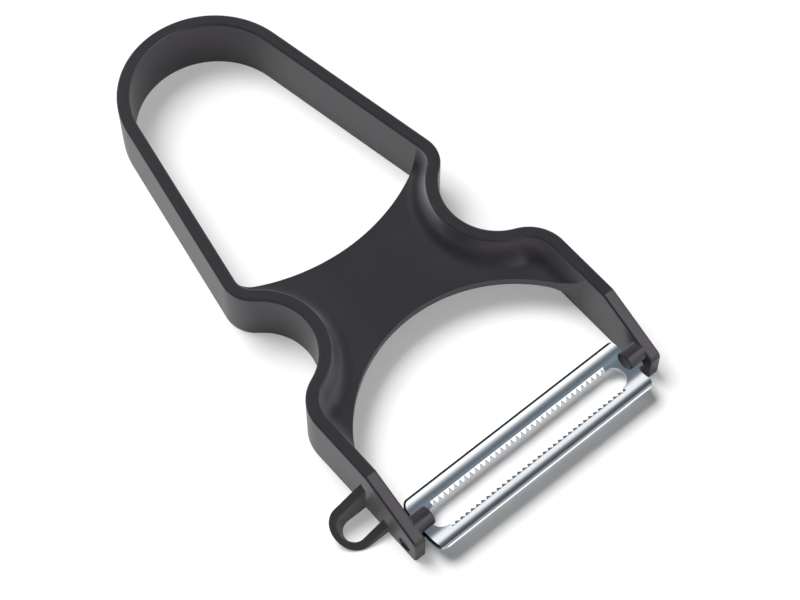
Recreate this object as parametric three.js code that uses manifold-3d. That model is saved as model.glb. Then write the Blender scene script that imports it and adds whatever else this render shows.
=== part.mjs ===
import * as THREE from 'three';
import { mergeVertices } from 'three/addons/utils/BufferGeometryUtils.js';
import Module from 'manifold-3d';

// Serrated vegetable peeler: a fork handle moulded in one piece, and a steel blade that swivels in it.
// Millimetres, +Z up. The origin is on the underside of the bow, on the plane of symmetry.
// +Y points from the blade to the bow, and +X to the plain arm.

// Handle wall in plan. Its outer face runs from the crest of the bow round to an arm tip.
const BOW_RADIUS = 17.6;
const LEG_SPLAY_DEG = 10.1;
const LEG_LENGTH = 37.6;
const HIP_RADIUS = 6.3;
const HIP_TURN_DEG = 61;
const HIP_FLAT = 0.95;
const WAIST_RADIUS = 10.5;
const WAIST_TURN_DEG = 117.3;
const WAIST_FLAT = 0.45;
const SHOULDER_RADIUS = 7.95;
const ARM_LENGTH = 26.4;
const WALL = 2.45;
const WALL_HEIGHT = 12;
const RIM_ROUND = 0.25;

// Arm tips: the top of each arm ramps down to its end.
const RAMP_LENGTH = 13.2;
const TIP_HEIGHT = 6;
const TIP_ROUND = 0.9;
const TIP_CORNER = 0.4;

// Web across the waist, half way up the wall, hollowed by an arc on each side.
const WEB_THICKNESS = 1.8;
const WEB_BOW_RADIUS = 39.3;
const WEB_FORK_RADIUS = 29;
const WEB_BOW_EDGE_TO_WAIST = 8.8;
const WEB_FORK_EDGE_TO_WAIST = 8.9;
const WEB_FILLET_REACH = 3.7;
const WEB_FILLET_RISE = 4.4;

// Swivel: the tangs turn in a hole near each arm tip, and a peg above each hole stops the blade.
const PIVOT_TO_TIP = 2.9;
const PIVOT_HEIGHT = 2.1;
const TANG_CLEARANCE = 0.3;
const PEG_RADIUS = 1.8;
const PEG_LENGTH = 3.5;
const PEG_RISE = 3.5;
const PEG_SETBACK = 0.45;

// Eye remover: a bent wall on the side of one arm, leaning outwards and cut off by a slanting plane.
const LOOP_REACH = 7.75;
const LOOP_WIDTH = 7.4;
const LOOP_WALL = 1.35;
const LOOP_TO_TIP = 10.85;
const LOOP_LEAN = 0.35;
const LOOP_ROOT_HEIGHT = 7.7;
const LOOP_FALL_OUTWARD = 0.38;
const LOOP_FALL_ALONG_ARM = 0.73;

// Blade: a strip pressed into a shallow trough, slotted, with teeth on both edges of the slot.
const BLADE_SPAN = 11.5;
const BLADE_SHEET = 0.7;
const BLADE_TROUGH_RADIUS = 10;
const BLADE_CORNER = 1.8;
const BLADE_END_GAP = 1.25;
const SLOT_TO_BLADE_END = 2.35;
const SLOT_WIDTH = 4.4;
const TOOTH_PITCH = 1.19;
const TOOTH_HEIGHT = 0.8;
const TANG_WIDTH = 2.2;
const TANG_SHORT_OF_ARM_FACE = 0.2;

// Facets of round stretches, and how far a joined or cutting solid reaches past a face.
const ARC_STEP_DEG = 6;
const ROUND_SIDES = 28;
const OVERLAP = 0.6;

const wasm = await Module();
wasm.setup();

const radians = THREE.MathUtils.degToRad;

// Closed geometry to a solid that can be joined and cut.
function solid(geometry) {
  const bare = geometry.clone();
  bare.deleteAttribute('normal');
  bare.deleteAttribute('uv');
  const merged = mergeVertices(bare);
  return new wasm.Manifold(new wasm.Mesh({
    numProp: 3,
    vertProperties: new Float32Array(merged.attributes.position.array),
    triVerts: new Uint32Array(merged.index.array),
  }));
}

// Finished solid to a named mesh.
function mesh(name, shape, material) {
  const { vertProperties, triVerts } = shape.getMesh();
  const geometry = new THREE.BufferGeometry();
  geometry.setAttribute('position', new THREE.BufferAttribute(vertProperties, 3));
  geometry.setIndex(new THREE.BufferAttribute(triVerts, 1));
  geometry.computeVertexNormals();
  const named = new THREE.Mesh(geometry, material);
  named.name = name;
  return named;
}

// Outline in the XY plane raised from one height to another.
function raised(shape, low, high) {
  const geometry = new THREE.ExtrudeGeometry(shape, { depth: high - low, bevelEnabled: false });
  return geometry.translate(0, 0, low);
}

// Outline drawn with Y to the right and Z up, drawn out along X from one place to another.
function drawnAlongX(shape, from, to) {
  const geometry = new THREE.ExtrudeGeometry(shape, { depth: to - from, bevelEnabled: false });
  const axes = new THREE.Matrix4().makeBasis(
    new THREE.Vector3(0, 1, 0),
    new THREE.Vector3(0, 0, 1),
    new THREE.Vector3(1, 0, 0),
  );
  return geometry.applyMatrix4(axes).translate(from, 0, 0);
}

// Round bar along X, given by its two ends and its axis.
function roundAlongX(radius, from, to, y, z) {
  const geometry = new THREE.CylinderGeometry(radius, radius, to - from, ROUND_SIDES);
  return geometry.rotateZ(radians(-90)).translate((from + to) / 2, y, z);
}

// Upright round cutter that passes through the whole wall.
function uprightRound(radius, y) {
  const geometry = new THREE.CylinderGeometry(radius, radius, WALL_HEIGHT + 2 * OVERLAP, 4 * ROUND_SIDES);
  return geometry.rotateX(radians(90)).translate(0, y, WALL_HEIGHT / 2);
}

// Runs and bends of the wall, as lengths and turns. A positive turn bends it inwards.
const BOW_TURN_DEG = 90 - LEG_SPLAY_DEG;
const SHOULDER_TURN_DEG = 90 - BOW_TURN_DEG - HIP_TURN_DEG + WAIST_TURN_DEG;
const WALL_RUN = [
  { name: 'bow', radius: BOW_RADIUS, turn: BOW_TURN_DEG },
  { name: 'leg', length: LEG_LENGTH },
  { name: 'hip', radius: HIP_RADIUS, turn: HIP_TURN_DEG },
  { name: 'hipFlat', length: HIP_FLAT },
  { name: 'waist', radius: WAIST_RADIUS, turn: -WAIST_TURN_DEG },
  { name: 'waistFlat', length: WAIST_FLAT },
  { name: 'shoulder', radius: SHOULDER_RADIUS, turn: SHOULDER_TURN_DEG },
  { name: 'arm', length: ARM_LENGTH },
];

// Walks the wall at a depth inside its outer face. Each step has its place, heading and run name.
function walkWall(depth) {
  let place = new THREE.Vector2(0, WALL / 2 - depth);
  let heading = 0;
  const steps = [{ place, heading, run: 'crest' }];
  for (const { name, length, radius, turn } of WALL_RUN) {
    if (length !== undefined) {
      const along = new THREE.Vector2(Math.cos(heading), Math.sin(heading));
      place = place.clone().addScaledVector(along, length);
      steps.push({ place, heading, run: name });
      continue;
    }
    const side = Math.sign(turn);
    const bend = radius - side * depth;
    const inward = new THREE.Vector2(Math.sin(heading), -Math.cos(heading));
    const centre = place.clone().addScaledVector(inward, side * bend);
    const count = Math.ceil(Math.abs(turn) / ARC_STEP_DEG);
    const start = heading;
    for (let i = 1; i <= count; i += 1) {
      heading = start - radians(turn) * (i / count);
      const outward = new THREE.Vector2(-Math.sin(heading), Math.cos(heading));
      place = centre.clone().addScaledVector(outward, side * bend);
      steps.push({ place, heading, run: name, centre });
    }
  }
  return steps;
}

const OUTER = walkWall(0);
const INNER = walkWall(WALL);
const lastOf = (steps, run) => steps.findLast((step) => step.run === run);

// Places that the other features take from the wall.
const ARM_OUTER_X = lastOf(OUTER, 'arm').place.x;
const ARM_INNER_X = lastOf(INNER, 'arm').place.x;
const TIP_Y = lastOf(OUTER, 'arm').place.y;
const WAIST_Y = lastOf(OUTER, 'waist').centre.y;
const WEB_TOP = (WALL_HEIGHT + WEB_THICKNESS) / 2;
const WEB_BOTTOM = WEB_TOP - WEB_THICKNESS;
const PIVOT_Y = TIP_Y + PIVOT_TO_TIP;

// The upright wall: a band between its two faces, with rounded rims and rounded tip corners.
function wallBand() {
  const half = OUTER.map((step) => step.place);
  const inside = INNER.map((step) => step.place);
  half.pop();
  inside.pop();
  const corner = Math.min(TIP_CORNER, WALL / 2.2);
  for (const [x, first] of [[ARM_OUTER_X - corner, 0], [ARM_INNER_X + corner, -90]]) {
    for (let i = 0; i <= 4; i += 1) {
      const angle = radians(first - 22.5 * i);
      const bend = new THREE.Vector2(x, TIP_Y + corner);
      half.push(bend.add(new THREE.Vector2(Math.cos(angle), Math.sin(angle)).multiplyScalar(corner)));
    }
  }
  half.push(...inside.reverse());
  const mirrored = half.slice(1, -1).reverse().map((point) => new THREE.Vector2(-point.x, point.y));
  const geometry = new THREE.ExtrudeGeometry(new THREE.Shape([...half, ...mirrored]), {
    depth: WALL_HEIGHT - 2 * RIM_ROUND,
    bevelThickness: RIM_ROUND,
    bevelSize: RIM_ROUND,
    bevelOffset: -RIM_ROUND,
    bevelSegments: 2,
  });
  return solid(geometry.translate(0, 0, RIM_ROUND));
}

// Stretch of wall that the web may touch: from the end of the bow to the foot of the arm's ramp.
function webbedWall(depth) {
  const steps = walkWall(depth);
  const waist = steps.slice(steps.indexOf(lastOf(steps, 'bow')), -1);
  const { place, heading } = lastOf(steps, 'arm');
  waist.push({ place: new THREE.Vector2(place.x, TIP_Y + RAMP_LENGTH), heading });
  return waist;
}

// Plate that fills the waist at half height, and reaches into the middle of the wall.
function webPlate() {
  const right = webbedWall(WALL / 2).map((step) => step.place);
  const left = right.map((point) => new THREE.Vector2(-point.x, point.y)).reverse();
  return solid(raised(new THREE.Shape([...right, ...left]), WEB_BOTTOM, WEB_TOP));
}

// Fillet between the web and the wall above and below it, swept along one side of the waist.
// It stays inside the tightest bend of the wall and below the rims.
function webFillet(side) {
  const tightest = Math.min(HIP_RADIUS, SHOULDER_RADIUS) - WALL;
  const reach = Math.min(WEB_FILLET_REACH, 0.97 * tightest);
  const rise = Math.min(WEB_FILLET_RISE, WEB_BOTTOM - RIM_ROUND);
  const section = [[-OVERLAP, WEB_TOP + rise]];
  const profile = [];
  for (let angle = 180; angle <= 270; angle += 15) {
    const across = reach * (1 + Math.cos(radians(angle)));
    const up = rise * (1 + Math.sin(radians(angle)));
    profile.push([across, up]);
  }
  section.push(...profile.map(([across, up]) => [across, WEB_TOP + up]));
  section.push(...profile.reverse().map(([across, up]) => [across, WEB_BOTTOM - up]));
  section.push([-OVERLAP, WEB_BOTTOM - rise]);

  const path = webbedWall(WALL);
  const positions = [];
  for (const { place, heading } of path) {
    const inward = new THREE.Vector2(Math.sin(heading), -Math.cos(heading));
    for (const [across, up] of section) {
      const point = place.clone().addScaledVector(inward, across);
      positions.push(side * point.x, point.y, up);
    }
  }

  const count = section.length;
  const faces = [];
  const face = (a, b, c) => faces.push(...(side > 0 ? [a, b, c] : [a, c, b]));
  for (let ring = 0; ring < path.length - 1; ring += 1) {
    for (let i = 0; i < count; i += 1) {
      const a = ring * count + i;
      const b = ring * count + ((i + 1) % count);
      face(a, b, b + count);
      face(a, b + count, a + count);
    }
  }
  const outline = section.map(([across, up]) => new THREE.Vector2(across, up));
  const lastRing = (path.length - 1) * count;
  for (const [a, b, c] of THREE.ShapeUtils.triangulateShape(outline, [])) {
    face(a, b, c);
    face(lastRing + a, lastRing + c, lastRing + b);
  }

  const geometry = new THREE.BufferGeometry();
  geometry.setAttribute('position', new THREE.Float32BufferAttribute(positions, 3));
  geometry.setIndex(faces);
  return solid(geometry);
}

// Web with its fillets, hollowed by the finger arc of the bow and by the wide arc of the fork.
function waistWeb() {
  const bowArcY = WAIST_Y + WEB_BOW_EDGE_TO_WAIST + WEB_BOW_RADIUS;
  const forkArcY = WAIST_Y - WEB_FORK_EDGE_TO_WAIST - WEB_FORK_RADIUS;
  return webPlate()
    .add(webFillet(1))
    .add(webFillet(-1))
    .subtract(solid(uprightRound(WEB_BOW_RADIUS, bowArcY)))
    .subtract(solid(uprightRound(WEB_FORK_RADIUS, forkArcY)));
}

// Everything above the ramps and beyond the rounded ends of the arms, seen from the side.
function tipTrim() {
  const slope = (WALL_HEIGHT - TIP_HEIGHT) / RAMP_LENGTH;
  const rampFoot = TIP_Y + TIP_ROUND;
  const shape = new THREE.Shape();
  shape.moveTo(TIP_Y + RAMP_LENGTH + OVERLAP / slope, WALL_HEIGHT + OVERLAP);
  shape.lineTo(rampFoot, TIP_HEIGHT + slope * TIP_ROUND);
  shape.quadraticCurveTo(TIP_Y, TIP_HEIGHT, TIP_Y, TIP_HEIGHT - TIP_ROUND);
  shape.lineTo(TIP_Y - OVERLAP, TIP_HEIGHT - TIP_ROUND);
  shape.lineTo(TIP_Y - OVERLAP, WALL_HEIGHT + OVERLAP);
  return solid(drawnAlongX(shape, -ARM_OUTER_X - OVERLAP, ARM_OUTER_X + OVERLAP));
}

// Eye remover on the side of the -X arm: its wall in plan, leaning out, below a plane that falls to the tip.
function eyeLoop() {
  const bend = LOOP_WIDTH / 2;
  const inner = bend - LOOP_WALL;
  const rootX = -ARM_OUTER_X + OVERLAP;
  const bendX = -ARM_OUTER_X - LOOP_REACH + bend;
  const middleY = TIP_Y + LOOP_TO_TIP;
  const shape = new THREE.Shape();
  shape.moveTo(rootX, middleY + bend);
  shape.lineTo(bendX, middleY + bend);
  shape.absarc(bendX, middleY, bend, radians(90), radians(270), false);
  shape.lineTo(rootX, middleY - bend);
  shape.lineTo(rootX, middleY - inner);
  shape.lineTo(bendX, middleY - inner);
  shape.absarc(bendX, middleY, inner, radians(270), radians(90), true);
  shape.lineTo(rootX, middleY + inner);

  const above = new THREE.Vector3(-LOOP_FALL_OUTWARD, -LOOP_FALL_ALONG_ARM, 1).normalize();
  const size = 4 * LOOP_REACH;
  const cutter = new THREE.BoxGeometry(size, size, size);
  const turn = new THREE.Quaternion().setFromUnitVectors(new THREE.Vector3(0, 0, 1), above);
  const root = new THREE.Vector3(-ARM_OUTER_X, middleY + bend, LOOP_ROOT_HEIGHT);
  cutter.translate(0, 0, size / 2).applyQuaternion(turn).translate(root.x, root.y, root.z);
  const wall = raised(shape, 0, WALL_HEIGHT);
  const { position } = wall.attributes;
  for (let i = 0; i < position.count; i += 1) {
    const lean = position.getX(i) < -ARM_OUTER_X ? LOOP_LEAN * position.getZ(i) : 0;
    position.setX(i, position.getX(i) - lean);
  }
  return solid(wall).subtract(solid(cutter));
}

// Stop peg and tang hole of one arm.
function stopPeg(side) {
  const ends = [side * (ARM_INNER_X - PEG_LENGTH), side * (ARM_INNER_X + OVERLAP)];
  const y = PIVOT_Y + PEG_SETBACK;
  const z = PIVOT_HEIGHT + PEG_RISE;
  return solid(roundAlongX(PEG_RADIUS, Math.min(...ends), Math.max(...ends), y, z));
}

function tangHole(side) {
  const radius = Math.hypot(TANG_WIDTH, BLADE_SHEET) / 2 + TANG_CLEARANCE;
  const ends = [side * (ARM_INNER_X - OVERLAP), side * (ARM_OUTER_X + OVERLAP)];
  return solid(roundAlongX(radius, Math.min(...ends), Math.max(...ends), PIVOT_Y, PIVOT_HEIGHT));
}

function mouldedHandle() {
  return wallBand()
    .subtract(tipTrim())
    .add(waistWeb())
    .add(stopPeg(1))
    .add(stopPeg(-1))
    .add(eyeLoop())
    .subtract(tangHole(1))
    .subtract(tangHole(-1));
}

// The blade is made about its own swivel axis, X, with the middle of its sheet on the axis.
const BLADE_END_X = ARM_INNER_X - BLADE_END_GAP;
const SLOT_END_X = BLADE_END_X - SLOT_TO_BLADE_END;

// Pressed strip: an arched section a little wider than the blade, drawn out between the arms.
function pressedStrip() {
  const outer = BLADE_TROUGH_RADIUS + BLADE_SHEET;
  const half = Math.asin((BLADE_SPAN / 2 + OVERLAP) / BLADE_TROUGH_RADIUS);
  const centreZ = BLADE_SHEET / 2 + BLADE_TROUGH_RADIUS;
  const down = radians(270);
  const shape = new THREE.Shape();
  shape.absarc(0, centreZ, outer, down - half, down + half, false);
  shape.absarc(0, centreZ, BLADE_TROUGH_RADIUS, down + half, down - half, true);
  return solid(drawnAlongX(shape, -BLADE_END_X, BLADE_END_X));
}

// Toothed slot in plan: the front row runs to +X, the rear row back to -X, with a round end after each.
function slotPath() {
  const half = SLOT_WIDTH / 2;
  const bendX = SLOT_END_X - half;
  const count = Math.floor((2 * bendX) / TOOTH_PITCH);
  const rowStart = (count * TOOTH_PITCH) / 2;
  const path = new THREE.Path();
  path.moveTo(-rowStart, -half);
  for (const way of [1, -1]) {
    path.lineTo(-way * rowStart, -way * half);
    for (let i = 0; i < count; i += 1) {
      const x = way * (i * TOOTH_PITCH - rowStart);
      path.lineTo(x + (way * TOOTH_PITCH) / 2, -way * (half + TOOTH_HEIGHT));
      path.lineTo(x + way * TOOTH_PITCH, -way * half);
    }
    const first = radians(way > 0 ? 270 : 90);
    path.absarc(way * bendX, 0, half, first, first + Math.PI, false);
  }
  return path;
}

// Blank in plan: it trims the strip's edges and corners, and cuts the slot.
function blankPlan() {
  const edge = BLADE_SPAN / 2;
  const bendX = BLADE_END_X - BLADE_CORNER;
  const bendY = edge - BLADE_CORNER;
  const shape = new THREE.Shape();
  shape.moveTo(-bendX, -edge);
  shape.lineTo(bendX, -edge);
  shape.absarc(bendX, -bendY, BLADE_CORNER, radians(270), radians(360), false);
  shape.absarc(bendX, bendY, BLADE_CORNER, 0, radians(90), false);
  shape.absarc(-bendX, bendY, BLADE_CORNER, radians(90), radians(180), false);
  shape.absarc(-bendX, -bendY, BLADE_CORNER, radians(180), radians(270), false);
  shape.holes.push(slotPath());
  return solid(raised(shape, -BLADE_SPAN, BLADE_SPAN));
}

// Tang at one end, level with the floor of the trough.
function tang(side) {
  const from = SLOT_END_X + OVERLAP;
  const to = ARM_OUTER_X - TANG_SHORT_OF_ARM_FACE;
  const geometry = new THREE.BoxGeometry(to - from, TANG_WIDTH, BLADE_SHEET);
  return solid(geometry.translate((side * (from + to)) / 2, 0, 0));
}

function swivelBlade() {
  return pressedStrip().intersect(blankPlan()).add(tang(1)).add(tang(-1));
}

const darkPlastic = new THREE.MeshStandardMaterial({ color: '#464548', roughness: 0.5, metalness: 0 });
const stainlessSteel = new THREE.MeshStandardMaterial({ color: '#c9cdd1', roughness: 0.22, metalness: 1 });

const peeler = new THREE.Group();
peeler.add(mesh('moulded_handle', mouldedHandle(), darkPlastic));

const swivel = new THREE.Group();
swivel.position.set(0, PIVOT_Y, PIVOT_HEIGHT);
swivel.add(mesh('swivel_blade', swivelBlade(), stainlessSteel));
peeler.add(swivel);

export default peeler;
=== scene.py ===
"""Serrated vegetable peeler: a fork handle moulded in one piece, and a toothed blade that swivels in it."""

import logging
import math
from collections.abc import Callable, Iterator
from contextlib import contextmanager
from dataclasses import dataclass
from enum import Enum
from typing import Any

import bmesh
import bpy
from mathutils import Matrix, Vector


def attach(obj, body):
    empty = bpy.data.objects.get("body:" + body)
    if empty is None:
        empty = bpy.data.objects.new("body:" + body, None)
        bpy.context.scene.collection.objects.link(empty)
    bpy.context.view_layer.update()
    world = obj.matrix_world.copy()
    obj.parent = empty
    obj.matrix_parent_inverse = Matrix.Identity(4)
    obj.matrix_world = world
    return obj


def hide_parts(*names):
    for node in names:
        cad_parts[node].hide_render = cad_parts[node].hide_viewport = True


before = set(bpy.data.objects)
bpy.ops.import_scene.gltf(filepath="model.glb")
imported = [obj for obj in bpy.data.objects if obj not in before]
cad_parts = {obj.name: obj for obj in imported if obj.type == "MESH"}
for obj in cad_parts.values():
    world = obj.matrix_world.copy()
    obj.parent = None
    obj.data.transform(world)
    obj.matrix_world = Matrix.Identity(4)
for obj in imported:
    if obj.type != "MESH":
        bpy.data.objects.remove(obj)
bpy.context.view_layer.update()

LOG = logging.getLogger("peeler")

# The pieces are modelled in millimetres, and brought to metres when they are finished.
METRES_PER_MM = 0.001

# Points closer than the first distance are one point, and those closer than the second share a corner.
# Pieces that are joined reach into each other by the third.
MERGE_DISTANCE = 0.002
SAME_CORNER = 0.1
OVERLAP = 0.6

# Faces that meet at more than this form a real corner, and a hollow one bends back by the second angle.
CORNER_ANGLE = math.radians(40)
HOLLOW_CORNER = -1.0

# Parts of a unit normal: hardly leaning, mainly facing up, and as good as parallel.
SLIGHT_LEAN = 0.1
MAINLY_UP = 0.5
PARALLEL = 0.999

# Share of a face's area in the shading of the points round it, out of 100.
FACE_WEIGHT = 100


class Cut(Enum):
    """What a boolean does with its tool."""

    JOIN = "UNION"
    AWAY = "DIFFERENCE"
    KEEP = "INTERSECT"


class Element(Enum):
    """Kinds of mesh element, by the name of their select mode."""

    VERT = "verts"
    EDGE = "edges"
    FACE = "faces"


def activate(piece: bpy.types.Object) -> None:
    """Make one piece the only selected object, and the active one."""
    bpy.ops.object.select_all(action="DESELECT")
    piece.select_set(True)
    bpy.context.view_layer.objects.active = piece


@contextmanager
def editing(piece: bpy.types.Object) -> Iterator[None]:
    """Hold one piece open in edit mode with everything selected.

    Args:
        piece: The mesh object to open.

    Returns:
        A context that closes edit mode again when it ends.
    """
    activate(piece)
    bpy.ops.object.mode_set(mode="EDIT")
    bpy.ops.mesh.select_all(action="SELECT")
    yield
    bpy.ops.object.mode_set(mode="OBJECT")


def pick(piece: bpy.types.Object, kind: Element, test: Callable[[Any], bool]) -> None:
    """Select the elements of an open piece that pass a test, and nothing else.

    Args:
        piece: The mesh object that is open in edit mode.
        kind: The kind of element to look at.
        test: Says of one element whether it is wanted.
    """
    bpy.ops.mesh.select_all(action="DESELECT")
    bpy.ops.mesh.select_mode(type=kind.name)
    shape = bmesh.from_edit_mesh(piece.data)
    for element in getattr(shape, kind.value):
        element.select_set(test(element))
    shape.select_flush_mode()
    bmesh.update_edit_mesh(piece.data)


def named(name: str, size: tuple[float, float, float] = (1, 1, 1)) -> bpy.types.Object:
    """Name the primitive that was just added, stretch it, and put its place into its mesh.

    Args:
        name: The piece's name.
        size: Stretch along the primitive's own axes.

    Returns:
        The primitive's object, unturned and unscaled at the origin.
    """
    piece = bpy.context.object
    piece.name = name
    piece.data.name = name
    piece.scale = size
    bpy.ops.object.transform_apply(location=True, rotation=True, scale=True)
    return piece


def upright_plane(name: str, centre: Vector, facing: float, width: float,
                  height: float) -> bpy.types.Object:
    """Add an upright rectangle.

    Args:
        name: The piece's name.
        centre: Middle of the rectangle.
        facing: Angle in plan that its width runs along.
        width: Its width.
        height: Its height.

    Returns:
        The new piece.
    """
    bpy.ops.object.select_all(action="DESELECT")
    bpy.ops.mesh.primitive_plane_add(size=1, location=centre, rotation=(math.pi / 2, 0, facing))
    return named(name, (width, height, 1))


def round_bar(name: str, radius: float, length: float, centre: Vector, turn: tuple[float, float, float],
              sides: int) -> bpy.types.Object:
    """Add a round bar, upright before it is turned.

    Args:
        name: The piece's name.
        radius: Its radius.
        length: Its length.
        centre: Its middle.
        turn: Euler angles.
        sides: Number of facets round it.

    Returns:
        The new piece.
    """
    bpy.ops.object.select_all(action="DESELECT")
    bpy.ops.mesh.primitive_cylinder_add(
        vertices=sides, radius=radius, depth=length, location=centre, rotation=turn
    )
    return named(name)


def modify(piece: bpy.types.Object, kind: str, **settings: Any) -> None:
    """Add a modifier to a piece, give it its settings and apply it.

    Args:
        piece: The piece to work on.
        kind: The modifier's type.
        **settings: Values of the modifier's properties.
    """
    activate(piece)
    modifier = piece.modifiers.new(kind, kind)
    for key, value in settings.items():
        setattr(modifier, key, value)
    bpy.ops.object.modifier_apply(modifier=modifier.name)


def combine(piece: bpy.types.Object, cut: Cut, tool: bpy.types.Object) -> None:
    """Join a tool to a piece or cut the piece with it, and remove the tool.

    Args:
        piece: The piece to work on.
        cut: What happens where the two meet.
        tool: The other solid.
    """
    modify(piece, "BOOLEAN", operation=cut.value, solver="MANIFOLD", object=tool)
    bpy.data.objects.remove(tool)


def sharp(edge: bmesh.types.BMEdge) -> bool:
    """Whether an edge of a closed mesh is a real corner."""
    return edge.is_manifold and edge.calc_face_angle() > CORNER_ANGLE


def close_up(piece: bpy.types.Object) -> None:
    """Merge doubled points and turn every face outwards."""
    with editing(piece):
        bpy.ops.mesh.remove_doubles(threshold=MERGE_DISTANCE)
        bpy.ops.mesh.normals_make_consistent(inside=False)


def finish_piece(piece: bpy.types.Object, smooth_deg: float) -> None:
    """Bring a piece from millimetres to metres, and smooth it up to its real edges.

    Args:
        piece: The piece to finish.
        smooth_deg: Greatest angle between two faces that still shade as one surface.
    """
    activate(piece)
    piece.scale = (METRES_PER_MM,) * 3
    bpy.ops.object.transform_apply(location=True, rotation=True, scale=True)
    bpy.ops.object.shade_smooth_by_angle(angle=math.radians(smooth_deg))
    modify(piece, "WEIGHTED_NORMAL", keep_sharp=True, weight=FACE_WEIGHT)


def linear(colour: str) -> tuple[float, float, float, float]:
    """Turn an sRGB hex colour to linear RGBA."""
    channels = [int(colour[i:i + 2], 16) / 255 for i in (1, 3, 5)]
    return (*[c / 12.92 if c <= 0.04045 else ((c + 0.055) / 1.055) ** 2.4 for c in channels], 1.0)


def node(tree: bpy.types.NodeTree, kind: str, links: dict[str, Any] | None = None,
         **settings: Any) -> bpy.types.Node:
    """Add a node with its settings, its socket values and its incoming links.

    Args:
        tree: The node tree to add to.
        kind: The node's type.
        links: For each input, an output socket to link, or a value to set.
        **settings: Values of the node's properties.

    Returns:
        The new node.
    """
    added = tree.nodes.new(kind)
    for key, value in settings.items():
        setattr(added, key, value)
    for key, value in (links or {}).items():
        socket = added.inputs[int(key)] if key.isdigit() else added.inputs[key]
        if isinstance(value, bpy.types.NodeSocket):
            tree.links.new(value, socket)
        else:
            socket.default_value = value
    return added


def blank_material(name: str) -> bpy.types.Material:
    """Make an empty node material."""
    material = bpy.data.materials.new(name)
    material.use_nodes = True
    material.node_tree.nodes.clear()
    return material


@dataclass(frozen=True)
class MouldedPlastic:
    """Glass-filled polypropylene from a spark-eroded mould: charcoal, satin, with a fine even grain."""

    colour: str = "#222123"
    pale: str = "#282729"
    sheen: str = "#fff4ff"
    roughness: float = 0.4
    roughness_swing: float = 0.05
    ior: float = 1.49
    grain_mm: float = 0.35
    grain_depth_mm: float = 0.012
    grain_detail: float = 3.0
    grain_harshness: float = 0.6
    grain_strength: float = 0.35
    cloud_mm: float = 9.0
    cloud_detail: float = 2.0

    def material(self) -> bpy.types.Material:
        """Build the node material.

        Returns:
            A material that reads Object coordinates.
        """
        material = blank_material("Satin moulded polypropylene")
        tree = material.node_tree
        place = node(tree, "ShaderNodeTexCoord").outputs["Object"]
        # The grain breaks each highlight into a soft glow, and faint clouds keep wide faces from looking flat.
        grain = node(tree, "ShaderNodeTexNoise", {
            "Vector": place,
            "Scale": 1 / (self.grain_mm * METRES_PER_MM),
            "Detail": self.grain_detail,
            "Roughness": self.grain_harshness,
        })
        cloud = node(tree, "ShaderNodeTexNoise", {
            "Vector": place,
            "Scale": 1 / (self.cloud_mm * METRES_PER_MM),
            "Detail": self.cloud_detail,
        })
        tint = node(tree, "ShaderNodeValToRGB", {"Fac": cloud.outputs["Fac"]})
        tint.color_ramp.elements[0].color = linear(self.colour)
        tint.color_ramp.elements[1].color = linear(self.pale)
        gloss = node(tree, "ShaderNodeMapRange", {
            "Value": grain.outputs["Fac"],
            "To Min": self.roughness - self.roughness_swing,
            "To Max": self.roughness + self.roughness_swing,
        })
        bump = node(tree, "ShaderNodeBump", {
            "Height": grain.outputs["Fac"],
            "Strength": self.grain_strength,
            "Distance": self.grain_depth_mm * METRES_PER_MM,
        })
        plastic = node(tree, "ShaderNodeBsdfPrincipled", {
            "Base Color": tint.outputs["Color"], "Roughness": gloss.outputs["Result"], "IOR": self.ior,
            "Specular Tint": linear(self.sheen), "Normal": bump.outputs["Normal"],
        })
        node(tree, "ShaderNodeOutputMaterial", {"Surface": plastic.outputs["BSDF"]})
        return material


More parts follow.
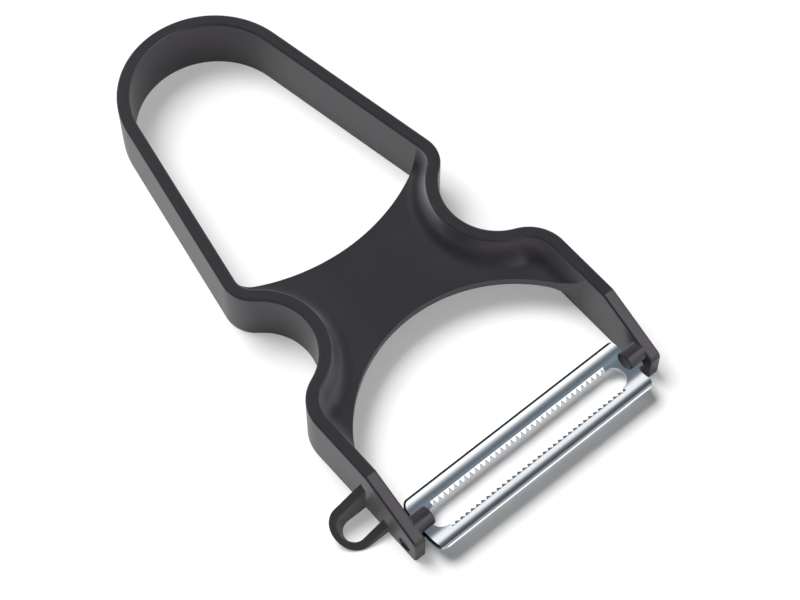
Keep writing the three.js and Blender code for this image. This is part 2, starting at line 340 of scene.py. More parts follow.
@dataclass(frozen=True)
class PolishedSteel:
    """Bright stainless strip, rolled and polished: it mirrors the room with fine lines along its length."""

    colour: str = "#d9dde1"
    # Painted shade: the near-black that the lip line and the bow-facing tooth facets are painted with.
    shadow: str = "#0d0d0e"
    roughness: float = 0.16
    smoothest_line: float = 0.04
    roughest_line: float = 0.06
    line_mm: float = 0.25
    line_length_mm: float = 14.0
    line_detail: float = 3.0
    # Where the painted shade line runs along the rear lip and the end by the loop, and how wide and soft it
    # is.
    rim_x_mm: float = -23.05
    rim_y_mm: float = -101.684
    rim_round_mm: float = 1.8
    rim_width_mm: float = 0.4
    rim_blend_mm: float = 0.04
    # Tilts towards the bow at which the tooth facets start and finish being painted darker, and how far, as
    # painted shade.
    facet_turn: float = 0.6
    facet_full_turn: float = 0.68
    facet_painted_shade: float = 0.93

    def material(self) -> bpy.types.Material:
        """Build the node material.

        Returns:
            A material that reads Object coordinates.
        """
        material = blank_material("Polished stainless steel")
        tree = material.node_tree
        coordinates = node(tree, "ShaderNodeTexCoord")
        place = coordinates.outputs["Object"]
        # Lines drawn out along the strip smear what it mirrors into long streaks.
        across = 1 / (self.line_mm * METRES_PER_MM)
        stretched = node(tree, "ShaderNodeMapping", {
            "Vector": place, "Scale": (1 / (self.line_length_mm * METRES_PER_MM), across, across),
        })
        lines = node(tree, "ShaderNodeTexNoise", {
            "Vector": stretched.outputs["Vector"], "Scale": 1.0, "Detail": self.line_detail,
        })
        gloss = node(tree, "ShaderNodeMapRange", {
            "Value": lines.outputs["Fac"],
            "To Min": self.roughness - self.smoothest_line,
            "To Max": self.roughness + self.roughest_line,
        })
        # Painted shade: the lip of the rear edge and of the end by the loop is painted near-black as a black
        # line, where it rolls away from the light.
        parts = node(tree, "ShaderNodeSeparateXYZ", {"Vector": place})
        beyond_x = node(tree, "ShaderNodeMath", {
            "0": self.rim_x_mm * METRES_PER_MM, "1": parts.outputs["X"],
        }, operation="SUBTRACT")
        beyond_y = node(tree, "ShaderNodeMath", {
            "0": parts.outputs["Y"], "1": self.rim_y_mm * METRES_PER_MM,
        }, operation="SUBTRACT")
        beyond = node(tree, "ShaderNodeCombineXYZ", {
            "X": beyond_x.outputs["Value"], "Y": beyond_y.outputs["Value"],
        })
        outside = node(tree, "ShaderNodeVectorMath", {"0": beyond.outputs["Vector"]}, operation="MAXIMUM")
        reach = node(tree, "ShaderNodeVectorMath", {"0": outside.outputs["Vector"]}, operation="LENGTH")
        lip_start = (self.rim_round_mm - self.rim_width_mm) * METRES_PER_MM
        lip = node(tree, "ShaderNodeMapRange", {
            "Value": reach.outputs["Value"],
            "From Min": lip_start,
            "From Max": lip_start + self.rim_blend_mm * METRES_PER_MM,
        })
        # Painted reflection of shade: ground facets that face the bow are painted darker, in place of the
        # shaded floor they mirror, so their teeth read dark.
        turned = node(tree, "ShaderNodeSeparateXYZ", {"Vector": coordinates.outputs["Normal"]})
        ground = node(tree, "ShaderNodeMapRange", {
            "Value": turned.outputs["Y"],
            "From Min": self.facet_turn,
            "From Max": self.facet_full_turn,
            "To Max": self.facet_painted_shade,
        })
        # Both painted shade masks, the lip line and the facets, take the steel towards its shadow colour.
        painted_shade = node(tree, "ShaderNodeMath", {
            "0": lip.outputs["Result"], "1": ground.outputs["Result"],
        }, operation="MAXIMUM")
        tint = node(tree, "ShaderNodeValToRGB", {"Fac": painted_shade.outputs["Value"]})
        tint.color_ramp.elements[0].color = linear(self.colour)
        tint.color_ramp.elements[1].color = linear(self.shadow)
        steel = node(tree, "ShaderNodeBsdfPrincipled", {
            "Base Color": tint.outputs["Color"], "Metallic": 1.0, "Roughness": gloss.outputs["Result"],
        })
        node(tree, "ShaderNodeOutputMaterial", {"Surface": steel.outputs["BSDF"]})
        return material


@dataclass(frozen=True)
class Run:
    """One stretch of the handle's wall: straight by its length, or bent by its radius and degrees of turn."""

    length: float = 0.0
    radius: float = 0.0
    turn: float = 0.0


@dataclass
class WallWalk:
    """A place on the outer face of the wall, and the heading there, moved on by each stretch drawn."""

    place: Vector
    heading: float = 0.0
    step_deg: float = 2.5

    def inward(self) -> Vector:
        """Direction in plan from the outer face to the inner one."""
        return Vector((math.sin(self.heading), -math.cos(self.heading), 0))

    def along(self) -> Vector:
        """Direction in plan that the wall runs in."""
        return Vector((math.cos(self.heading), math.sin(self.heading), 0))

    def follow(self, run: Run, draw: bool = True) -> None:
        """Move along one stretch, and draw the open piece's selection along it.

        Args:
            run: The stretch to follow.
            draw: Whether the selection is extruded or spun, or only the place moves on.
        """
        if not run.turn:
            ahead = self.along() * run.length
            if draw:
                bpy.ops.mesh.extrude_region_move(TRANSFORM_OT_translate={"value": ahead})
            self.place += ahead
            return
        side = math.copysign(1, run.turn)
        centre = self.place + self.inward() * side * run.radius
        if draw:
            steps = math.ceil(abs(run.turn) / self.step_deg)
            bpy.ops.mesh.spin(steps=steps, angle=math.radians(run.turn), center=centre, axis=(0, 0, 1))
        self.heading -= math.radians(run.turn)
        self.place = centre - self.inward() * side * run.radius


@dataclass
class MouldedHandle:
    """Bow, legs, waist with its web, fork arms, stop pegs and eye loop, in one moulding. Millimetres."""

    bow_radius: float = 17.6
    leg_splay_deg: float = 10.1
    leg_length: float = 37.6
    hip_radius: float = 6.3
    hip_turn_deg: float = 61.0
    hip_flat: float = 0.95
    waist_radius: float = 10.5
    waist_turn_deg: float = 117.3
    waist_flat: float = 0.45
    shoulder_radius: float = 7.95
    arm_length: float = 26.4
    wall: float = 2.45
    height: float = 12.0
    rim_round: float = 0.45
    foot_round: float = 0.12
    ramp_length: float = 13.2
    tip_height: float = 6.0
    tip_round: float = 0.9
    web_thickness: float = 1.8
    web_bow_radius: float = 39.3
    web_fork_radius: float = 29.0
    web_bow_centre_y: float = -16.95
    web_fork_centre_y: float = -102.95
    web_fillet_reach: float = 3.7
    web_fillet_rise: float = 4.4
    web_stub: float = 3.75
    web_lip: float = 0.3
    web_sunk: float = 0.01
    web_edge_round: float = 0.45
    web_edge_deg: float = 50.0
    arm_outer_x: float = 28.553
    tip_y: float = -108.534
    pivot_to_tip: float = 2.9
    pivot_height: float = 2.1
    tang_hole_radius: float = 1.45
    peg_radius: float = 1.8
    peg_length: float = 3.5
    peg_rise: float = 3.5
    peg_setback: float = 0.45
    peg_round: float = 0.3
    loop_reach: float = 7.75
    loop_width: float = 7.4
    loop_wall: float = 1.35
    loop_to_tip: float = 10.85
    loop_lean: float = 0.35
    loop_root_height: float = 7.7
    loop_fall_outward: float = 0.38
    loop_fall_along_arm: float = 0.73
    loop_round: float = 0.22
    round_segments: int = 6
    foot_segments: int = 5
    fillet_segments: int = 12
    arc_sides: int = 240
    bar_sides: int = 64
    loop_steps: int = 48
    smooth_deg: float = 20.0
    finish: MouldedPlastic = MouldedPlastic()

    def stretches(self) -> dict[str, Run]:
        """Stretches of the wall by name, from the crest of the bow to the arm."""
        bow_turn = 90 - self.leg_splay_deg
        return {
            "bow": Run(radius=self.bow_radius, turn=bow_turn),
            "leg": Run(length=self.leg_length),
            "hip": Run(radius=self.hip_radius, turn=self.hip_turn_deg),
            "hip_flat": Run(length=self.hip_flat),
            "waist": Run(radius=self.waist_radius, turn=-self.waist_turn_deg),
            "waist_flat": Run(length=self.waist_flat),
            "shoulder": Run(
                radius=self.shoulder_radius,
                turn=90 - bow_turn - self.hip_turn_deg + self.waist_turn_deg,
            ),
            "arm": Run(length=self.arm_length),
        }

    def upright_wall(self) -> bpy.types.Object:
        """Draw the wall's section from the crest to one tip, trim the arm's ramp, and mirror it.

        Returns:
            The closed band with rounded rims.
        """
        band = upright_plane("wall", Vector((0, 0, self.height / 2)), math.pi / 2, self.wall, self.height)
        walk = WallWalk(Vector((0, self.wall / 2, 0)))
        slope = (self.height - self.tip_height) / self.ramp_length
        with editing(band):
            for run in self.stretches().values():
                walk.follow(run)
            bpy.ops.mesh.select_all(action="SELECT")
            bpy.ops.mesh.bisect(
                plane_co=(0, self.tip_y, self.tip_height),
                plane_no=(0, -slope, 1),
                use_fill=True,
                clear_outer=True,
            )
            pick(band, Element.FACE, lambda face: face.calc_center_median().x < MERGE_DISTANCE)
            bpy.ops.mesh.delete(type="FACE")
            pick(band, Element.EDGE, self.ends_ramp)
            bpy.ops.mesh.bevel(offset=self.tip_round, segments=self.round_segments, affect="EDGES")
        modify(band, "MIRROR", use_mirror_merge=True, merge_threshold=MERGE_DISTANCE)
        close_up(band)
        with editing(band):
            pick(band, Element.EDGE, lambda edge: sharp(edge) and not self.at_foot(edge))
            bpy.ops.mesh.bevel(offset=self.rim_round, segments=self.round_segments, affect="EDGES")
            pick(band, Element.EDGE, lambda edge: sharp(edge) and self.at_foot(edge))
            bpy.ops.mesh.bevel(offset=self.foot_round, segments=self.foot_segments, affect="EDGES")
        return band

    def ends_ramp(self, edge: bmesh.types.BMEdge) -> bool:
        """Whether an edge is the top corner of the arm's end face."""
        place = Vector((0, self.tip_y, self.tip_height))
        return all((vert.co - place).yz.length < SAME_CORNER for vert in edge.verts)

    def at_foot(self, edge: bmesh.types.BMEdge) -> bool:
        """Whether an edge lies on the ground."""
        return all(vert.co.z < MERGE_DISTANCE for vert in edge.verts)

    def waist_web(self) -> bpy.types.Object:
        """Draw a T-section along the inside of the wall, fillet it, and stretch its stem to the middle.

        Returns:
            The closed web with its flared sides, reaching a little way into the wall.
        """
        runs = self.stretches()
        walk = WallWalk(Vector((0, self.wall / 2, 0)))
        walk.follow(runs.pop("bow"), draw=False)
        runs["arm"] = Run(length=self.arm_length - self.ramp_length)
        squeeze = self.web_fillet_reach / self.web_fillet_rise
        half = squeeze * self.web_thickness / 2
        top = self.height / 2 + half
        bottom = self.height / 2 - half
        inward = walk.inward()
        depth = self.wall - self.web_sunk
        face_x = (walk.place + inward * depth).dot(inward)
        centre = walk.place + inward * (depth - OVERLAP / 2)
        centre.z = self.height / 2
        facing = walk.heading - math.pi / 2
        tall = 2 * (half + self.web_fillet_reach) + self.web_lip
        web = upright_plane("web", centre, facing, OVERLAP, tall)
        with editing(web):
            for level in (bottom, top):
                bpy.ops.mesh.select_all(action="SELECT")
                bpy.ops.mesh.bisect(plane_co=(0, 0, level), plane_no=(0, 0, 1))
            pick(web, Element.EDGE, lambda edge: all(
                abs(vert.co.dot(inward) - face_x) < MERGE_DISTANCE
                and bottom - SAME_CORNER < vert.co.z < top + SAME_CORNER
                for vert in edge.verts
            ))
            bpy.ops.mesh.extrude_region_move(TRANSFORM_OT_translate={"value": inward * self.web_stub})
            bpy.ops.mesh.select_mode(type="FACE")
            bpy.ops.mesh.select_all(action="SELECT")
            for run in runs.values():
                walk.follow(run)
            bpy.ops.mesh.select_all(action="SELECT")
            bpy.ops.mesh.normals_make_consistent(inside=False)
            pick(web, Element.EDGE, lambda edge: (
                edge.is_manifold and edge.calc_face_angle_signed() < HOLLOW_CORNER
            ))
            bpy.ops.mesh.bevel(
                offset=self.web_fillet_reach,
                segments=self.fillet_segments,
                affect="EDGES",
                clamp_overlap=False,
            )
            pick(web, Element.FACE, lambda end: (
                end.normal.x < -SLIGHT_LEAN
                and abs(end.normal.z) < SLIGHT_LEAN
                and all(
                    min(abs(vert.co.z - top), abs(vert.co.z - bottom)) < MERGE_DISTANCE for vert in end.verts
                )
            ))
            bpy.ops.transform.resize(value=(0, 1, 1), center_override=(0, 0, 0))
            bpy.ops.mesh.delete(type="ONLY_FACE")
            bpy.ops.mesh.select_all(action="SELECT")
            bpy.ops.transform.resize(value=(1, 1, 1 / squeeze), center_override=(0, 0, self.height / 2))
        modify(web, "MIRROR", use_mirror_merge=True, merge_threshold=MERGE_DISTANCE)
        close_up(web)
        for radius, y in (
            (self.web_bow_radius, self.web_bow_centre_y),
            (self.web_fork_radius, self.web_fork_centre_y),
        ):
            middle = Vector((0, y, self.height / 2))
            arc = round_bar("arc", radius, 3 * self.height, middle, (0, 0, 0), self.arc_sides)
            combine(web, Cut.AWAY, arc)
        modify(
            web,
            "BEVEL",
            width=self.web_edge_round,
            segments=self.round_segments,
            limit_method="ANGLE",
            angle_limit=math.radians(self.web_edge_deg),
        )
        return web

    def stop_peg(self, side: int) -> bpy.types.Object:
        """Add the round peg that stops the blade, with a rounded end.

        Args:
            side: 1 for the +X arm, -1 for the other.

        Returns:
            The peg, reaching into its arm.
        """
        inner_x = self.arm_outer_x - self.wall
        middle = Vector((
            side * (inner_x - self.peg_length / 2 + OVERLAP / 2),
            self.tip_y + self.pivot_to_tip + self.peg_setback,
            self.pivot_height + self.peg_rise,
        ))
        long = self.peg_length + OVERLAP
        end_x = inner_x - self.peg_length
        peg = round_bar("peg", self.peg_radius, long, middle, (0, math.pi / 2, 0), self.bar_sides)
        with editing(peg):
            pick(peg, Element.EDGE, lambda edge: all(
                abs(abs(vert.co.x) - end_x) < MERGE_DISTANCE for vert in edge.verts
            ))
            bpy.ops.mesh.bevel(offset=self.peg_round, segments=self.round_segments, affect="EDGES")
        return peg

    def eye_loop(self) -> bpy.types.Object:
        """Draw the loop's wall out from the arm, round its bend and back, and slice its slanting top.

        Returns:
            The loop, reaching into its arm.
        """
        bend = self.loop_width / 2
        root_x = -self.arm_outer_x + OVERLAP
        bend_x = -self.arm_outer_x - self.loop_reach + bend
        middle_y = self.tip_y + self.loop_to_tip
        start = Vector((root_x, middle_y + bend - self.loop_wall / 2, self.height / 2))
        loop = upright_plane("loop", start, math.pi / 2, self.loop_wall, self.height)
        out = Vector((bend_x - root_x, 0, 0))
        with editing(loop):
            bpy.ops.mesh.extrude_region_move(TRANSFORM_OT_translate={"value": out})
            bpy.ops.mesh.spin(
                steps=self.loop_steps, angle=-math.pi, center=(bend_x, middle_y, 0), axis=(0, 0, 1)
            )
            bpy.ops.mesh.extrude_region_move(TRANSFORM_OT_translate={"value": -out})
            pick(loop, Element.VERT, lambda vert: (
                vert.co.z > self.height / 2 and vert.co.x < -self.arm_outer_x
            ))
            bpy.ops.transform.translate(value=(-self.loop_lean * self.height, 0, 0))
            bpy.ops.mesh.select_all(action="SELECT")
            bpy.ops.mesh.bisect(
                plane_co=(-self.arm_outer_x, middle_y + bend, self.loop_root_height),
                plane_no=(-self.loop_fall_outward, -self.loop_fall_along_arm, 1),
                use_fill=True,
                clear_outer=True,
            )
        close_up(loop)
        with editing(loop):
            pick(loop, Element.EDGE, lambda edge: (
                sharp(edge) and any(face.normal.z > MAINLY_UP for face in edge.link_faces)
            ))
            bpy.ops.mesh.bevel(offset=self.loop_round, segments=self.round_segments, affect="EDGES")
        return loop

    def tang_hole(self, side: int) -> bpy.types.Object:
        """Add the cutter of the hole that a tang turns in."""
        middle = Vector((
            side * (self.arm_outer_x - self.wall / 2), self.tip_y + self.pivot_to_tip, self.pivot_height
        ))
        turn = (0, math.pi / 2, 0)
        return round_bar("hole", self.tang_hole_radius, 2 * self.wall, middle, turn, self.bar_sides)

    def build(self) -> bpy.types.Object:
        """Join the wall, web, pegs and loop, drill the tang holes, and dress the handle.

        Returns:
            The finished handle.
        """
        handle = self.upright_wall()
        handle.name = "satin_fork_handle"
        handle.data.name = "satin_fork_handle"
        combine(handle, Cut.JOIN, self.waist_web())
        combine(handle, Cut.JOIN, self.eye_loop())
        for side in (1, -1):
            combine(handle, Cut.JOIN, self.stop_peg(side))
            combine(handle, Cut.AWAY, self.tang_hole(side))
        finish_piece(handle, self.smooth_deg)
        handle.data.materials.clear()
        handle.data.materials.append(self.finish.material())
        # The steel mirrors the bright room past the handle.
        handle.visible_glossy = False
        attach(handle, "handle")
        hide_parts("moulded_handle")
        return handle


@dataclass
class SwivelBlade:
    """Steel strip pressed to a trough, with a slot, two toothed edges and two end tangs. Millimetres."""

    pivot_y: float = -105.634
    pivot_z: float = 2.1
    end_x: float = 24.85
    span: float = 11.5
    sheet: float = 0.7
    trough_radius: float = 10.0
    corner: float = 1.8
    edge_flat: float = 0.02
    slot_end_x: float = 22.5
    slot_half: float = 2.2
    tooth_pitch: float = 1.19
    tooth_height: float = 0.8
    tooth_count: int = 34
    tip_flat: float = 0.03
    tip_thickness: float = 0.1
    tang_width: float = 2.2
    tang_end_x: float = 28.35
    tang_round: float = 0.2
    tang_root: float = 1.0
    trough_steps: int = 96
    round_segments: int = 6
    corner_segments: int = 16
    smooth_deg: float = 18.0
    finish: PolishedSteel = PolishedSteel()

    def trough_z(self, radius: float, across: float) -> float:
        """Height of the trough's face of one radius, at a distance from the middle of the strip."""
        return self.pivot_z + self.sheet / 2 + self.trough_radius - math.sqrt(radius ** 2 - across ** 2)

    def pressed_strip(self) -> bpy.types.Object:
        """Spin the strip's section about the trough's axis, round its long edges, and trim it in plan.

        Returns:
            The arched strip with its slot.
        """
        middle = self.trough_radius + self.sheet / 2
        edge_radius = self.sheet / 2
        half = math.asin((self.span / 2 - edge_radius) / middle)
        axis = Vector((0, self.pivot_y, self.pivot_z + middle))
        start = axis + Vector((0, -math.sin(half), -math.cos(half))) * middle
        bpy.ops.object.select_all(action="DESELECT")
        bpy.ops.mesh.primitive_plane_add(size=1, location=start, rotation=(math.pi / 2 - half, 0, 0))
        strip = named("strip", (2 * (self.end_x + OVERLAP), self.sheet, 1))
        with editing(strip):
            bpy.ops.mesh.spin(steps=self.trough_steps, angle=-2 * half, center=axis, axis=(1, 0, 0))
            for side in (1, -1):
                outward = Vector((0, side * math.cos(half), math.sin(half)))
                pick(strip, Element.FACE, lambda face: abs(face.normal.dot(outward)) > PARALLEL)
                bpy.ops.mesh.extrude_region_move(TRANSFORM_OT_translate={"value": outward * edge_radius})
        close_up(strip)
        with editing(strip):
            pick(strip, Element.EDGE, lambda edge: sharp(edge) and edge.calc_length() > self.end_x)
            bpy.ops.mesh.bevel(
                offset=edge_radius - self.edge_flat, segments=self.round_segments, affect="EDGES"
            )
        combine(strip, Cut.KEEP, self.rounded_block("plan", self.end_x, self.span / 2, self.corner))
        slot = self.rounded_block("slot", self.slot_end_x, self.slot_half + self.tip_flat, self.slot_half)
        combine(strip, Cut.AWAY, slot)
        return strip

    def rounded_block(self, name: str, half_x: float, half_y: float, corner: float) -> bpy.types.Object:
        """Add an upright block about the swivel axis, with rounded corners in plan.

        Args:
            name: The piece's name.
            half_x: Half its length.
            half_y: Half its width.
            corner: Radius of its corners.

        Returns:
            The new block.
        """
        bpy.ops.object.select_all(action="DESELECT")
        bpy.ops.mesh.primitive_cube_add(size=1, location=(0, self.pivot_y, self.pivot_z))
        block = named(name, (2 * half_x, 2 * half_y, 2 * self.span))
        with editing(block):
            pick(block, Element.EDGE, lambda edge: abs(edge.verts[0].co.z - edge.verts[1].co.z) > self.span)
            bpy.ops.mesh.bevel(offset=corner, segments=self.corner_segments, affect="EDGES")
        return block

    def grinding(self, side: int) -> bpy.types.Object:
        """Model the wedge that grinds one edge of the slot to its teeth, from the roots down to the tips.

        Args:
            side: 1 for the rear edge, -1 for the front edge.

        Returns:
            A long cutter with a slanting underside.
        """
        tip = self.slot_half
        root = tip + self.tooth_height
        inside = tip - OVERLAP
        root_z = self.trough_z(self.trough_radius, root)
        tip_z = self.trough_z(self.trough_radius + self.sheet, tip) + self.tip_thickness
        inside_z = tip_z - (root_z - tip_z) / (root - tip) * OVERLAP
        centre = (0, self.pivot_y + side * (inside + root) / 2, inside_z + self.sheet)
        bpy.ops.object.select_all(action="DESELECT")
        bpy.ops.mesh.primitive_cube_add(size=1, location=centre)
        wedge = named("wedge", (self.tooth_count * self.tooth_pitch, root - inside, 2 * self.sheet))
        with editing(wedge):
            pick(wedge, Element.VERT, lambda vert: vert.co.z > inside_z + self.sheet)
            bpy.ops.transform.translate(value=(0, 0, self.span))
            pick(wedge, Element.VERT, lambda vert: (
                side * (vert.co.y - self.pivot_y) > tip and vert.co.z < inside_z + self.sheet
            ))
            bpy.ops.transform.translate(value=(0, 0, root_z - inside_z))
        return wedge

    def notches(self, side: int) -> bpy.types.Object:
        """Model the gap between two teeth once, and repeat it along one edge of the slot.

        Args:
            side: 1 for the rear edge, -1 for the front edge.

        Returns:
            A row of upright three-sided cutters.
        """
        bpy.ops.object.select_all(action="DESELECT")
        bpy.ops.mesh.primitive_cylinder_add(
            vertices=3, radius=1, depth=2 * self.span, rotation=(0, 0, 0 if side > 0 else math.pi)
        )
        notch = named("notch")
        # A triangle in a circle of radius 1 has this width and depth. Its base is a third of the depth behind.
        triangle_width = math.sqrt(3)
        triangle_depth = 1.5
        notch.scale = (self.tooth_pitch / triangle_width, self.tooth_height / triangle_depth, 1)
        notch.location = (
            -self.tooth_pitch * (self.tooth_count - 1) / 2,
            self.pivot_y + side * (self.slot_half + self.tooth_height / 3),
            self.pivot_z,
        )
        bpy.ops.object.transform_apply(location=True, rotation=True, scale=True)
        modify(
            notch,
            "ARRAY",
            count=self.tooth_count,
            use_relative_offset=False,
            use_constant_offset=True,
            constant_offset_displace=(self.tooth_pitch, 0, 0),
        )
        return notch

    def tang(self, side: int) -> bpy.types.Object:
        """Add the flat tang at one end, with its outer corners rounded."""
        start = self.slot_end_x + self.tang_root
        bpy.ops.object.select_all(action="DESELECT")
        bpy.ops.mesh.primitive_cube_add(
            size=1, location=(side * (start + self.tang_end_x) / 2, self.pivot_y, self.pivot_z)
        )
        tang = named("tang", (self.tang_end_x - start, self.tang_width, self.sheet))
        with editing(tang):
            pick(tang, Element.EDGE, lambda edge: all(
                abs(vert.co.x) > self.tang_end_x - SAME_CORNER for vert in edge.verts
            ))
            bpy.ops.mesh.bevel(offset=self.tang_round, segments=self.round_segments, affect="EDGES")
        return tang

    def build(self) -> bpy.types.Object:
        """Press the strip, punch its slot and teeth, add the tangs, and dress the blade.

        Returns:
            The finished blade.
        """
        blade = self.pressed_strip()
        blade.name = "toothed_swivel_blade"
        blade.data.name = "toothed_swivel_blade"
        for side in (1, -1):
            combine(blade, Cut.AWAY, self.grinding(side))
            combine(blade, Cut.AWAY, self.notches(side))
            combine(blade, Cut.JOIN, self.tang(side))
        finish_piece(blade, self.smooth_deg)
        blade.data.materials.clear()
        blade.data.materials.append(self.finish.material())
        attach(blade, "blade")
        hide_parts("swivel_blade")
        return blade


class Shade(Enum):
    """What a mirror sees in the room: white screens, and the bluish dark between them."""

    SCREEN = (1.0, 1.0, 1.0)
    ROOM = (0.024, 0.029, 0.034)


@dataclass(frozen=True)
class Band:
    """One stop of the arc that a mirror sees: its angle up from the front, and its brightness and shade."""

    degrees: float
    level: float
    shade: Shade


@dataclass(frozen=True)
class Softbox:
    """A square soft lamp: its name, its middle and its side in metres, and its power in watts."""

    name: str
    place: tuple[float, float, float]
    size: float
    watts: float


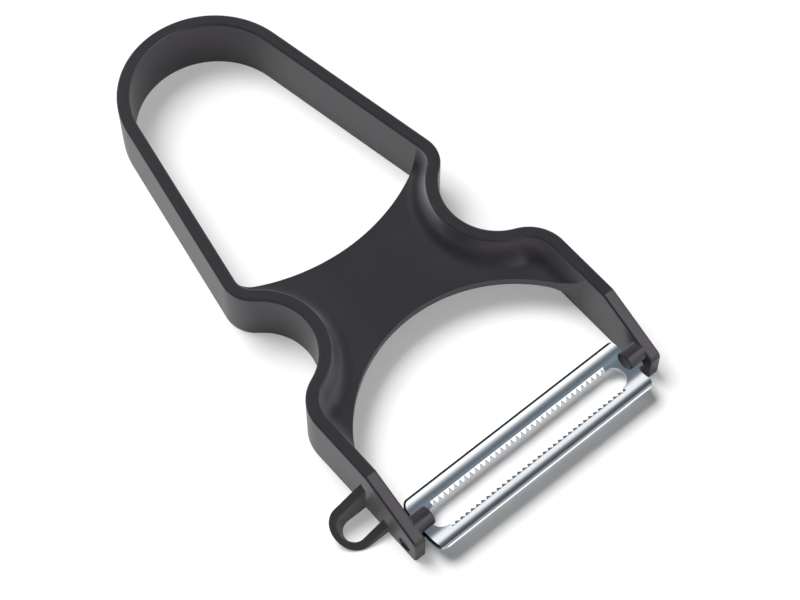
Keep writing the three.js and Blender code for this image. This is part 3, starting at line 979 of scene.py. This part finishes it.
@dataclass
class Studio:
    """White floor, soft lamps and the camera, placed in metres."""

    camera_place: tuple[float, float, float] = (-0.126252, -0.218930, 0.356870)
    camera_azimuth: float = -40.417
    camera_elevation: float = 60.906
    camera_roll: float = 0.258
    lens_px: float = 2241.97
    picture_width_px: float = 800.0
    sensor_mm: float = 36.0
    nearest: float = 0.01
    farthest: float = 10.0
    floor_size: float = 6.0
    floor_z: float = -0.00002
    floor_colour: str = "#f6f6f6"
    floor_lift: float = 0.05
    front_y: float = -0.8
    rear_y: float = 0.3
    ambient_front: float = 0.22
    ambient_rear: float = 0.06
    left_x: float = -0.25
    right_x: float = 0.1
    mirrored_left: float = 1.0
    mirrored_right: float = 5.0
    bands: tuple[Band, ...] = (
        Band(0, 0.4, Shade.SCREEN),
        Band(47, 0.4, Shade.SCREEN),
        Band(52, 0.28, Shade.SCREEN),
        Band(55, 0.15, Shade.SCREEN),
        Band(59, 1.0, Shade.ROOM),
        Band(61, 0.9, Shade.ROOM),
        Band(65, 0.9, Shade.ROOM),
        Band(71, 2.4, Shade.ROOM),
        Band(75, 2.4, Shade.ROOM),
        Band(82, 1.5, Shade.ROOM),
        Band(131, 1.5, Shade.ROOM),
        Band(137, 0.26, Shade.SCREEN),
        Band(152, 0.26, Shade.SCREEN),
        Band(157, 0.6, Shade.ROOM),
        Band(180, 0.6, Shade.ROOM),
    )
    aim: tuple[float, float, float] = (0, -0.055, 0)
    key: Softbox = Softbox("key softbox", (-0.32, 1.32, 2.25), 1.5, 64.0)
    tent: Softbox = Softbox("light tent", (-0.32, 1.32, 2.25), 1.5, 28.0)
    sheen: Softbox = Softbox("handle sheen softbox", (0.60, -1.05, 1.62), 0.8, 10.0)

    def camera(self) -> bpy.types.Object:
        """Place the camera high in front of the arm with the loop, with the bow at the upper left.

        Returns:
            The scene's camera.
        """
        azimuth, elevation, roll = map(
            math.radians, (self.camera_azimuth, self.camera_elevation, self.camera_roll)
        )
        back = Vector((
            math.sin(azimuth) * math.cos(elevation),
            -math.cos(azimuth) * math.cos(elevation),
            math.sin(elevation),
        ))
        level = Vector((math.cos(azimuth), math.sin(azimuth), 0))
        upward = back.cross(level)
        right = level * math.cos(roll) + upward * math.sin(roll)
        up = back.cross(right)
        data = bpy.data.cameras.new("camera")
        data.sensor_width = self.sensor_mm
        data.lens = self.lens_px / self.picture_width_px * self.sensor_mm
        data.clip_start = self.nearest
        data.clip_end = self.farthest
        camera = bpy.data.objects.new("camera", data)
        bpy.context.scene.collection.objects.link(camera)
        turn = Matrix((right, up, back)).transposed()
        camera.matrix_world = Matrix.Translation(self.camera_place) @ turn.to_4x4()
        bpy.context.scene.camera = camera
        return camera

    def floor(self) -> bpy.types.Object:
        """Lay the floor just under the handle, white to the camera and still shadowed by the peeler.

        Returns:
            The floor.
        """
        bpy.ops.object.select_all(action="DESELECT")
        bpy.ops.mesh.primitive_plane_add(size=self.floor_size, location=(0, 0, self.floor_z))
        floor = named("floor")
        material = blank_material("White paper sweep")
        tree = material.node_tree
        path = node(tree, "ShaderNodeLightPath")
        paper = node(tree, "ShaderNodeBsdfDiffuse", {"Color": linear(self.floor_colour)})
        seen = node(tree, "ShaderNodeMath", {
            "0": path.outputs["Is Camera Ray"], "1": path.outputs["Is Glossy Ray"],
        }, operation="MAXIMUM")
        lift = node(tree, "ShaderNodeMath", {
            "0": seen.outputs["Value"], "1": self.floor_lift,
        }, operation="MULTIPLY")
        glow = node(tree, "ShaderNodeEmission", {"Color": (1, 1, 1, 1), "Strength": lift.outputs["Value"]})
        lifted = node(tree, "ShaderNodeAddShader", {
            "0": paper.outputs["BSDF"], "1": glow.outputs["Emission"],
        })
        node(tree, "ShaderNodeOutputMaterial", {"Surface": lifted.outputs["Shader"]})
        floor.data.materials.append(material)
        return floor

    def surroundings(self) -> None:
        """Give the world its light: white to the camera, even to matt faces, and a studio to mirrors.

        A mirror sees white screens in front and low at the back, and between them the dark of the room.
        """
        world = bpy.data.worlds.new("studio")
        world.use_nodes = True
        bpy.context.scene.world = world
        tree = world.node_tree
        tree.nodes.clear()
        direction = node(tree, "ShaderNodeTexCoord").outputs["Generated"]
        parts = node(tree, "ShaderNodeSeparateXYZ", {"Vector": direction})
        forward = node(tree, "ShaderNodeMath", {"0": parts.outputs["Y"], "1": -1.0}, operation="MULTIPLY")
        arc = node(tree, "ShaderNodeMath", {
            "0": parts.outputs["Z"], "1": forward.outputs["Value"],
        }, operation="ARCTAN2")
        share = node(tree, "ShaderNodeMapRange", {"Value": arc.outputs["Value"], "From Max": math.pi})
        ramp = node(tree, "ShaderNodeValToRGB", {"Fac": share.outputs["Result"]})
        whole_arc = self.bands[-1].degrees
        for band in self.bands[1:-1]:
            ramp.color_ramp.elements.new(band.degrees / whole_arc)
        for element, band in zip(ramp.color_ramp.elements, self.bands):
            element.position = band.degrees / whole_arc
            element.color = (*(band.level * channel for channel in band.shade.value), 1)
        path = node(tree, "ShaderNodeLightPath")
        soft = node(tree, "ShaderNodeMapRange", {
            "Value": parts.outputs["Y"],
            "From Min": self.front_y,
            "From Max": self.rear_y,
            "To Min": self.ambient_front,
            "To Max": self.ambient_rear,
        })
        even = node(tree, "ShaderNodeBackground", {
            "Color": (1, 1, 1, 1), "Strength": soft.outputs["Result"],
        })
        rightward = node(tree, "ShaderNodeMapRange", {
            "Value": parts.outputs["X"],
            "From Min": self.left_x,
            "From Max": self.right_x,
            "To Min": self.mirrored_left,
            "To Max": self.mirrored_right,
        })
        mirrored = node(tree, "ShaderNodeBackground", {
            "Color": ramp.outputs["Color"], "Strength": rightward.outputs["Result"],
        })
        paper = node(tree, "ShaderNodeBackground", {"Color": (1, 1, 1, 1), "Strength": 1.0})
        lit = node(tree, "ShaderNodeMixShader", {
            "Fac": path.outputs["Is Glossy Ray"],
            "1": even.outputs["Background"],
            "2": mirrored.outputs["Background"],
        })
        seen = node(tree, "ShaderNodeMixShader", {
            "Fac": path.outputs["Is Camera Ray"],
            "1": lit.outputs["Shader"],
            "2": paper.outputs["Background"],
        })
        node(tree, "ShaderNodeOutputWorld", {"Surface": seen.outputs["Shader"]})

    def lamp(self, box: Softbox) -> bpy.types.Object:
        """Hang one soft lamp that faces the peeler.

        Args:
            box: The lamp's place, size and power.

        Returns:
            The lamp.
        """
        data = bpy.data.lights.new(box.name, "AREA")
        data.size = box.size
        data.energy = box.watts
        lamp = bpy.data.objects.new(box.name, data)
        bpy.context.scene.collection.objects.link(lamp)
        lamp.location = box.place
        lamp.rotation_euler = (Vector(self.aim) - Vector(box.place)).to_track_quat("-Z", "Y").to_euler()
        return lamp

    def group(self, name: str, piece: bpy.types.Object) -> bpy.types.Collection:
        """Make a collection of one piece, for a lamp to be linked to."""
        collection = bpy.data.collections.new(name)
        collection.objects.link(piece)
        return collection

    def build(self, handle: bpy.types.Object, blade: bpy.types.Object) -> None:
        """Set up the whole studio.

        Args:
            handle: The piece whose satin sheen has a lamp of its own.
            blade: The piece that shades every lamp.
        """
        self.camera()
        self.floor()
        self.surroundings()
        # Half-lost shadows of the handle come from the tent, which only the blade shades.
        self.lamp(self.key).visible_glossy = False
        tent = self.lamp(self.tent)
        tent.visible_glossy = False
        tent.light_linking.blocker_collection = self.group("shade the light tent", blade)
        sheen = self.lamp(self.sheen)
        sheen.light_linking.receiver_collection = self.group("lit by the sheen softbox", handle)
        bpy.context.scene.view_settings.view_transform = "Standard"


def main() -> None:
    """Build the peeler and its studio, and note both sizes."""
    logging.basicConfig(level=logging.INFO, format="%(message)s")
    handle = MouldedHandle().build()
    blade = SwivelBlade().build()
    for piece in (handle, blade):
        LOG.info("%s: %d faces", piece.name, len(piece.data.polygons))
    Studio().build(handle, blade)


if __name__ == "__main__":
    main()
